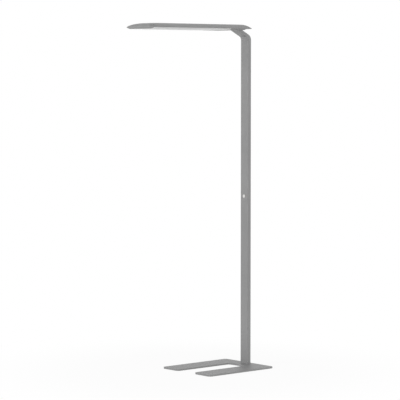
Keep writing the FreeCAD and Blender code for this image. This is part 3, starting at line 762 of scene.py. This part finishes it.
def bentBar(bm, xHalf, rear, front, frontDepth, rearRadius, frontRadius, zLow, zHigh):
    # side outline of the neck, drawn across X and bent with two rounded corners
    spots = [(rear, zLow), (rear, armZ(rear, rear)), (armAhead(zHigh, rear), zHigh),
             (armAhead(zHigh, frontDepth), zHigh), (front, armZ(front, frontDepth)), (front, zLow)]
    side = bm.faces.new([bm.verts.new((-xHalf, yAt(ahead), z)) for ahead, z in spots])
    bmesh.ops.translate(bm, vec=(2 * xHalf, 0, 0), verts=pulled(bm, side))
    share = math.tan(neck["lean"] / 2)
    bends = ((rear, armZ(rear, rear), rearRadius), (front, armZ(front, frontDepth), frontRadius))
    for ahead, z, radius in bends:
        bend = [edge for edge in levelEdges(bm, z)
                if all(abs(vert.co.y - yAt(ahead)) < nearly for vert in edge.verts)]
        roundOff(bm, bend, radius * share, 14)


def makeNeck():
    bm = bmesh.new()
    bentBar(bm, pole["halfWidth"], 0, pole["depth"], neck["armThickness"], neck["rearRadius"],
            neck["frontRadius"], pole["top"], neck["top"])
    longEdges = [edge for edge in bm.edges
                 if edge.verts[0].co.x * edge.verts[1].co.x > 0
                 and not isLevel(edge, pole["top"]) and not isLevel(edge, neck["top"])]
    roundOff(bm, longEdges, neck["edgeRadius"], 5)
    foot = levelFace(bm, pole["top"])
    roundOff(bm, list(foot.edges), pole["seam"], 2)
    foot = levelFace(bm, pole["top"])
    bmesh.ops.inset_region(bm, faces=[foot], thickness=neck["spigotInset"] - pole["seam"], depth=0)
    spigot = pulled(bm, levelFace(bm, pole["top"]))
    bmesh.ops.translate(bm, vec=(0, 0, -neck["spigotLength"]), verts=spigot)
    bar = makeObject("neckBend", bm)
    duct = bmesh.new()
    wall = neck["ductWall"]
    bentBar(duct, neck["ductHalf"], wall, pole["depth"] - wall,
            neck["armThickness"] - neck["ductFrontWall"],
            neck["rearRadius"] - wall, neck["frontRadius"] + 4 * mm,
            pole["top"] - neck["spigotLength"] - 1 * mm, neck["top"] + 4 * mm)
    carve(bar, duct)
    holes = bmesh.new()
    radius, depth = neck["tappedRadius"], neck["tappedDepth"]
    for side in (-1, 1):
        drill(holes, side * pole["screwSpread"], 13 * mm, pole["screwHoles"][1], radius, 14 * mm, rearward)
        for ahead in neck["mountScrews"]:
            drill(holes, side * neck["mountSpread"], ahead, neck["top"] - depth, radius, depth + 1 * mm,
                  upward)
    carve(bar, holes)
    finishPiece(bar, silverAluminium, ["neck"])


makeNeck()


# head
head = {
    "halfWidth": 131 * mm,
    "rear": 68 * mm,
    "front": 800 * mm,
    "cornerRadius": 38 * mm,
    "bottom": 1925 * mm,          # underside of the tray's rim
    "edgeTop": 1929 * mm,
    "top": 1950 * mm,
    "sheet": 2 * mm,
    "trayWall": 2.5 * mm,
    "dishDepth": 7 * mm,
    "dishRear": 118 * mm,
    "dishSlopes": (15 * mm, 8 * mm, 9 * mm),      # how far sides, rear and front lean in
    "dishRadius": 2 * mm,
    "dishWall": 2.5 * mm,
    "dishCollar": 6 * mm,         # runs on above the rim and is trimmed once the wall is there
    "skinGap": 0.8 * mm,
    "windowRear": 240 * mm,       # the opal diffuser lies between these two
    "windowFront": 789 * mm,
    # half width, ahead low and ahead high of the openings in the tray
    "lightOpening": (99 * mm, 245 * mm, 755 * mm),
    "driverOpening": (104 * mm, 124 * mm, 186 * mm),
    "wireSlot": (18.5 * mm, 88 * mm, 111 * mm),
    "coverGap": 0.4 * mm,
    "sideReach": 81 * mm,         # how far in from the edge the arch keeps rising
    "sidePower": 1.6,
    "frontReach": 77 * mm,
    "rearReach": 12 * mm,
    "archSteps": 22,
    "archSpacing": 1.8,           # the outlines lie closer together near the top
    "coverScrews": (-108 * mm, -66 * mm, 66 * mm, 108 * mm),
    "coverScrewAhead": 92 * mm,
    "screwPostRadius": 3.6 * mm,
    "pegs": (92 * mm, 772 * mm),
    "pegPostRadius": 4 * mm,
    "pegRadius": 3 * mm,
    "retainers": (119 * mm, (270 * mm, 425 * mm, 580 * mm, 735 * mm)),
    "retainerPostRadius": 2.45 * mm,
    "plateScrews": (104 * mm, (272 * mm, 500 * mm, 728 * mm)),
}

uplight = {
    "half": 40 * mm,
    "rear": 250 * mm,
    "front": 708 * mm,
    "radius": 8 * mm,
    "gap": 0.3 * mm,
    "lip": 6 * mm,
    "lipThickness": 1.6 * mm,
}


def archOutline(share):
    # half width, ahead low, ahead high and height where the cover has risen by this share
    side = head["sideReach"] * (1 - (1 - share) ** (1 / head["sidePower"]))
    end = 1 - math.sqrt(max(0.0, 1 - share * share))
    gap = head["coverGap"]
    return (head["halfWidth"] - gap - side, head["rear"] + gap + head["rearReach"] * end,
            head["front"] - gap - head["frontReach"] * end,
            head["edgeTop"] + (head["top"] - head["edgeTop"]) * share)


def archHeight(x, ahead):
    # height of the middle of the cover's sheet over a place near its edge
    inward = (head["halfWidth"] - abs(x)) / head["sideReach"]
    side = 1 - (1 - min(1.0, inward)) ** head["sidePower"]
    reach = head["rearReach"] if ahead < head["windowRear"] else head["frontReach"]
    away = min(ahead - head["rear"], head["front"] - ahead) / reach
    end = math.sqrt(1 - (1 - min(1.0, away)) ** 2)
    return head["edgeTop"] + (head["top"] - head["edgeTop"]) * min(side, end) - head["sheet"] * 0.6


def makeCover():
    bm = bmesh.new()
    steps = head["archSteps"]
    outlines = [archOutline(1 - (1 - index / steps) ** head["archSpacing"]) for index in range(steps + 1)]
    xHalf, aheadLow, aheadHigh, z = outlines[0]
    # the wall runs on below the rim and is trimmed to it once it has its thickness
    skirt = z - 4 * mm
    roundedBlock(bm, xHalf, aheadLow, aheadHigh, skirt, z, head["cornerRadius"], head["cornerRadius"], 14)
    for before, after in zip(outlines, outlines[1:]):
        reshape(bm, pulled(bm, levelFace(bm, before[3])), before, after)
    openUp(bm, skirt)
    cover = makeObject("headCover", bm)
    thicken(cover, head["sheet"])
    below = bmesh.new()
    roundedBlock(below, xHalf + 9 * mm, aheadLow - 9 * mm, aheadHigh + 9 * mm, skirt - 9 * mm, z, 0, 0)
    carve(cover, below)
    window = bmesh.new()
    roundedBlock(window, uplight["half"], uplight["rear"], uplight["front"], head["top"] - 12 * mm,
                 head["top"] + 5 * mm, uplight["radius"], uplight["radius"], 6)
    carve(cover, window)
    posts = bmesh.new()
    seat = head["bottom"] + head["sheet"]
    ahead = head["coverScrewAhead"]
    for x in head["coverScrews"]:
        drill(posts, x, ahead, seat, head["screwPostRadius"], archHeight(x, ahead) - seat, upward)
    for side in (-1, 1):
        x, ahead = side * head["pegs"][0], head["pegs"][1]
        drill(posts, x, ahead, seat, head["pegPostRadius"], archHeight(x, ahead) - seat, upward)
        drill(posts, x, ahead, seat - 1.6 * mm, head["pegRadius"], 3 * mm, upward)
    carve(cover, posts, "UNION")
    finishPiece(cover, silverAluminium, ["top_cover"], sharp=28.0)


def makeUplight():
    bm = bmesh.new()
    gap, lip = uplight["gap"], uplight["lip"]
    seat = head["top"] - head["sheet"]
    pane = (uplight["half"] - gap, uplight["rear"] + gap, uplight["front"] - gap, seat)
    roundedBlock(bm, pane[0], pane[1], pane[2], seat, head["top"], uplight["radius"] - gap,
                 uplight["radius"] - gap, 6)
    roundOff(bm, levelEdges(bm, head["top"]), 0.4 * mm, 2)
    flange = (uplight["half"] + lip, uplight["rear"] - lip, uplight["front"] + lip)
    for z in (seat, seat - uplight["lipThickness"]):
        reshape(bm, pulled(bm, levelFace(bm, pane[3])), pane, flange + (z,))
        pane = flange + (z,)
    finishPiece(makeObject("headUplight", bm), frostedPlastic, ["uplight_panel"])


def dishForm(bm):
    # the whole dish, closed, with an upright collar above its rim
    gap, bottom = head["skinGap"], head["bottom"]
    rim = (head["halfWidth"] - gap, head["dishRear"], head["front"] - gap, bottom)
    side, rear, front = head["dishSlopes"]
    low = (rim[0] - side, rim[1] + rear, rim[2] - front, bottom - head["dishDepth"])
    roundedBlock(bm, rim[0], rim[1], rim[2], bottom, bottom + head["dishCollar"], 12 * mm,
                 head["cornerRadius"] - 1 * mm, 12)
    reshape(bm, pulled(bm, levelFace(bm, bottom)), rim, low)
    roundOff(bm, levelEdges(bm, low[3]), head["dishRadius"], 3)


def dishPiece(name, aheadLow, aheadHigh, gap=0.0, hollow=True):
    # the part of the shallow dish between two places, with walls across its open ends
    bm = bmesh.new()
    dishForm(bm)
    for ahead, direction in ((aheadLow, 1), (aheadHigh, -1)):
        whole = bm.verts[:] + bm.edges[:] + bm.faces[:]
        bmesh.ops.bisect_plane(bm, geom=whole, plane_co=(0, yAt(ahead), 0), plane_no=(0, direction, 0),
                               clear_outer=True)
        bmesh.ops.holes_fill(bm, edges=[edge for edge in bm.edges if edge.is_boundary], sides=0)
    if hollow:
        openUp(bm, head["bottom"] + head["dishCollar"])
    piece = makeObject(name, bm)
    if hollow:
        thicken(piece, head["dishWall"])
    above = bmesh.new()
    roundedBlock(above, head["halfWidth"] + 9 * mm, aheadLow - 9 * mm, aheadHigh + 9 * mm,
                 head["bottom"] - gap, head["bottom"] + 15 * mm, 0, 0)
    carve(piece, above)
    return piece


def makeDishEnds():
    # the metal ends of the dish, behind and in front of the diffuser
    rear = dishPiece("headDishRear", head["dishRear"] - 1 * mm, head["windowRear"])
    lip = dishPiece("headFrontLip", head["windowFront"], head["front"], hollow=False)
    for piece in (rear, lip):
        finishPiece(piece, silverAluminium, ["head_tray"])


def makeDiffuser():
    gap = 0.25 * mm
    shell = dishPiece("headDiffuser", head["windowRear"] + gap, head["windowFront"] - gap, 0.05 * mm)
    posts = bmesh.new()
    low = head["bottom"] - head["dishDepth"] + head["dishWall"] * 0.6 + 1 * mm
    high = head["edgeTop"] + 0.2 * mm
    x, rows = head["retainers"]
    for side in (-1, 1):
        for ahead in rows:
            drill(posts, side * x, ahead, low, head["retainerPostRadius"], high - low, upward)
    carve(shell, posts, "UNION")
    finishPiece(shell, opalDiffuser, ["diffuser"])


def makeTray():
    bm = bmesh.new()
    roundedBlock(bm, head["halfWidth"], head["rear"], head["front"], head["bottom"], head["edgeTop"],
                 head["cornerRadius"], head["cornerRadius"], 14)
    roundOff(bm, levelEdges(bm, head["bottom"]), 0.7 * mm, 3)
    roundOff(bm, levelEdges(bm, head["edgeTop"]), 0.3 * mm, 2)
    tray = makeObject("headTray", bm)
    wall = head["trayWall"]
    inside = bmesh.new()
    roundedBlock(inside, head["halfWidth"] - wall, head["rear"] + wall, head["front"] - wall,
                 head["bottom"] + head["sheet"], head["edgeTop"] + 4 * mm,
                 head["cornerRadius"] - wall, head["cornerRadius"] - wall, 14)
    carve(tray, inside)
    openings = bmesh.new()
    low, high = head["bottom"] - 2 * mm, head["edgeTop"] + 2 * mm
    for name in ("lightOpening", "driverOpening", "wireSlot"):
        xHalf, aheadLow, aheadHigh = head[name]
        roundedBlock(openings, xHalf, aheadLow, aheadHigh, low, high, 1 * mm, 1 * mm, 2)
    screwRadius = 1.7 * mm
    for x in head["coverScrews"]:
        drill(openings, x, head["coverScrewAhead"], low, 5.0 * mm, 3.3 * mm, upward, screwRadius)
    carve(tray, openings)
    holes = bmesh.new()
    for x in head["coverScrews"]:
        drill(holes, x, head["coverScrewAhead"], low, screwRadius, 6 * mm, upward)
    for side in (-1, 1):
        places = [(head["retainers"][0], ahead, 2.8 * mm) for ahead in head["retainers"][1]]
        places += [(head["plateScrews"][0], ahead, 1.3 * mm) for ahead in head["plateScrews"][1]]
        places += [(neck["mountSpread"], ahead, 2.2 * mm) for ahead in neck["mountScrews"]]
        for x, ahead, radius in places + [head["pegs"] + (3.2 * mm,)]:
            drill(holes, side * x, ahead, head["bottom"] - 0.1 * mm, radius, 6 * mm, upward)
    carve(tray, holes)
    finishPiece(tray, silverAluminium, ["head_tray"])


frostedPlastic = opalPlastic("frostedPlastic", opal["ribs"])
opalDiffuser = opalPlastic("opalDiffuser")
makeCover()
makeUplight()
makeTray()
makeDishEnds()
makeDiffuser()


# push button and its bezel
switch = {
    "centre": (0, yAt(pole["depth"]), pole["buttonZ"]),
    "forward": (0, -1, 0),
    # radius and distance in front of the pole's face, in millimetres
    "cap": ((0, 3.8), (2.2, 3.76), (4.0, 3.66), (5.2, 3.5), (5.9, 3.2), (6.3, 2.8), (6.42, 2.3),
            (6.42, -2.1), (6.9, -2.1), (6.9, -4.1), (2.5, -4.1), (2.5, -9.5), (0, -9.5)),
    "bezel": ((6.5, 2.3), (9.5, 2.3), (9.5, 0.5), (8.0, 0.5), (8.0, -15.0), (7.0, -15.0), (7.0, -2.0),
              (6.5, -2.0)),
    # radius of each rim of the bezel's face, how far it is rounded, and in how many steps
    "bezelRims": ((9.5 * mm, 0.8 * mm, 4), (6.5 * mm, 0.3 * mm, 2)),
    "bezelFront": 2.3 * mm,
}


def turnedPiece(outline, centre, axis, steps):
    bm = bmesh.new()
    spun(bm, [(radius * mm, reach * mm) for radius, reach in outline], centre, axis, steps)
    return bm


def makeSwitch():
    nickel = turnedNickel("turnedNickel", switch["centre"])
    centre, forward = switch["centre"], switch["forward"]
    cap = turnedPiece(switch["cap"], centre, forward, 64)
    finishPiece(makeObject("buttonCap", cap), nickel, ["button"], "push_button", 40.0)
    bezel = turnedPiece(switch["bezel"], centre, forward, 64)
    for radius, rounding, steps in switch["bezelRims"]:
        roundOff(bezel, turnedRim(bezel, centre, forward, radius, switch["bezelFront"]), rounding, steps)
    finishPiece(makeObject("buttonBezel", bezel), nickel, ["switch_housing"], "lamp", 40.0)
    return nickel


brightNickel = makeSwitch()


# cable gland at the pole's foot
gland = {
    "centre": (0, yAt(0), pole["inletZ"]),
    # radius and distance behind the pole's rear face, in millimetres
    "outline": ((3.6, 7.8), (8.0, 7.8), (8.0, 0.8), (6.0, 0.8), (6.0, -8.0), (3.6, -8.0)),
    "radius": 8.0 * mm,
    "rims": ((8.0 * mm, 1.8 * mm, 4), (3.6 * mm, 0.4 * mm, 2)),
    "rear": 7.8 * mm,
    "flutes": 30,
    "fluteDepth": 0.3 * mm,
    "fluteEdge": 0.12 * mm,
}


def makeGland():
    bm = turnedPiece(gland["outline"], gland["centre"], rearward, gland["flutes"] * 2)
    for rim, rounding, steps in gland["rims"]:
        roundOff(bm, turnedRim(bm, gland["centre"], rearward, rim, gland["rear"]), rounding, steps)
    # every other face round the outside is pressed in as a flute
    centre = Vector(gland["centre"])
    sides = []
    for face in bm.faces:
        away = face.calc_center_median() - centre
        outside = abs(math.hypot(away.x, away.z) - gland["radius"]) < 0.1 * mm
        if outside and abs(face.normal.y) < 0.1:
            sides.append((math.atan2(away.z, away.x), face))
    sides.sort(key=lambda pair: pair[0])
    pressed = [face for _, face in sides][::2]
    bmesh.ops.inset_individual(bm, faces=pressed, thickness=gland["fluteEdge"], depth=-gland["fluteDepth"])
    finishPiece(makeObject("cableGland", bm), greyPlastic, ["inlet_bush"])


greyPlastic = mouldedPlastic("greyPlastic", 0.075)
makeGland()


# finishes of the pieces that come from the CAD as they are
zincSteel = platedSteel("zincSteel")
whitePlastic = mouldedPlastic("whitePlastic", 0.70, (1.0, 1.0, 0.97))
leadSheath = mouldedPlastic("leadSheath", 0.55, (1.0, 1.0, 0.98), 0.38, 0.00001)
finishes = {
    "silver_paint_steel": silverSteel,
    "silver_paint_aluminium": silverAluminium,
    "bright_metal": brightNickel,
    "steel": zincSteel,
    "black_rubber": blackRubber,
    "grey_plastic": greyPlastic,
    "white_plastic": whitePlastic,
    "lead_sheath": leadSheath,
    "opal_plastic": opalDiffuser,
    "frosted_plastic": frostedPlastic,
    "bare_aluminium": millAluminium("bareAluminium"),
    "board": circuitBoard("circuitBoard"),
    "light_chip": phosphorLens("phosphorLens"),
}
for part in frame["record"]["subparts"]:
    node = cadNodes[part["node"]]
    for holder in node.material_slots:
        holder.material = finishes[part["material_slot"]]
print("finishes given to", len(cadNodes), "CAD pieces")
